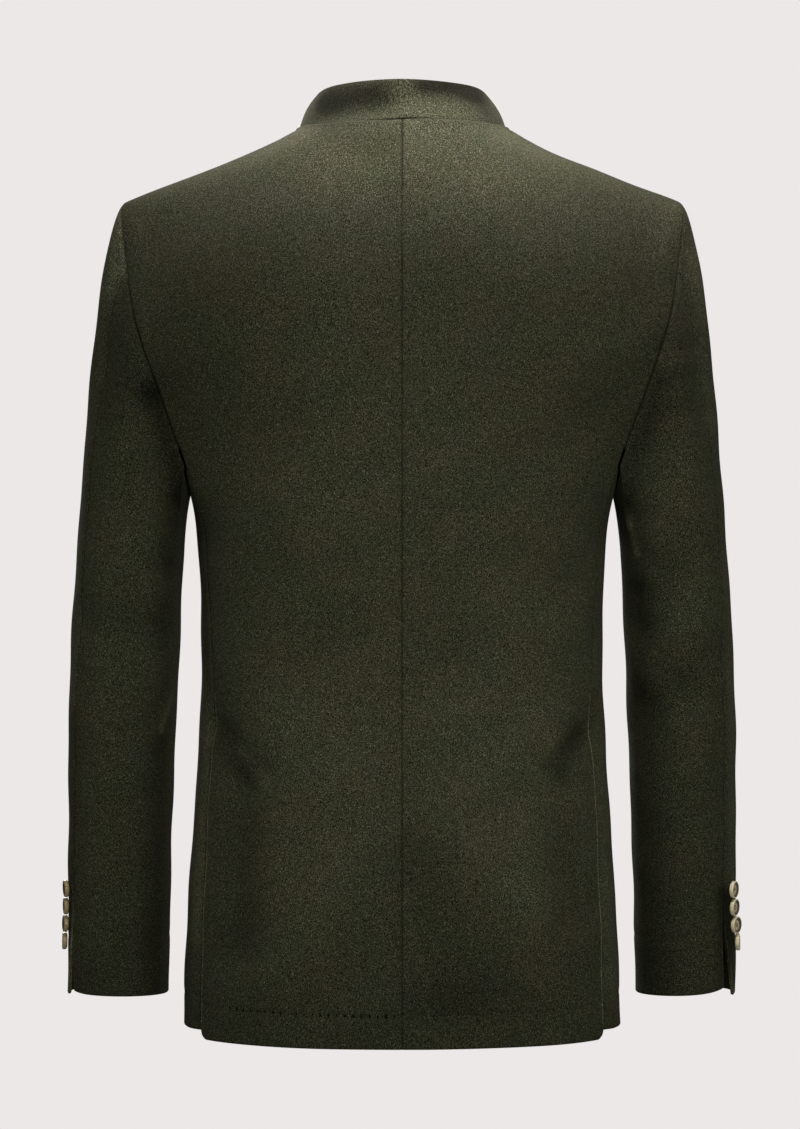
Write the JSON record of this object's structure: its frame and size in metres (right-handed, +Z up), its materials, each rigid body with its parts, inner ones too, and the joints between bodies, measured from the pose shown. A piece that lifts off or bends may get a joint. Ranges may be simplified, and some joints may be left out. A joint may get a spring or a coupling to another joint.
{
  "type": "trachten jacket",
  "caption": "Trachten jacket in dark olive melange loden, hollow as worn: stand collar, centre back seam, side vents, two-piece sleeves with buttoned cuff vents, front buttoned shut",
  "frame": {"origin": "middle of the neck base, level with the neck ends of the shoulder seams, where the wearer holds the jacket up", "axes": "+Z up along the body, back of the jacket faces +Y, the wearer's left arm is on +X"},
  "size_m": [0.5463, 0.2652, 0.7562],
  "materials": {
    "loden_cloth": "dark olive melange wool cloth, matte with a soft nap",
    "horn": null
  },
  "bodies": {
    "root": {"collar": "loden_cloth", "back_left": "loden_cloth", "back_right": "loden_cloth", "side_left": "loden_cloth", "side_right": "loden_cloth", "front_left": "loden_cloth", "front_right": "loden_cloth", "upper_sleeve_left": "loden_cloth", "upper_sleeve_right": "loden_cloth", "under_sleeve_left": "loden_cloth", "under_sleeve_right": "loden_cloth", "cuff_button_left_1": "horn", "cuff_button_left_2": "horn", "cuff_button_left_3": "horn", "cuff_button_left_4": "horn", "cuff_button_right_1": "horn", "cuff_button_right_2": "horn", "cuff_button_right_3": "horn", "cuff_button_right_4": "horn", "front_button_1": "horn", "front_button_2": "horn", "front_button_3": "horn", "front_button_4": "horn", "front_button_5": "horn"}
  },
  "joints": []
}
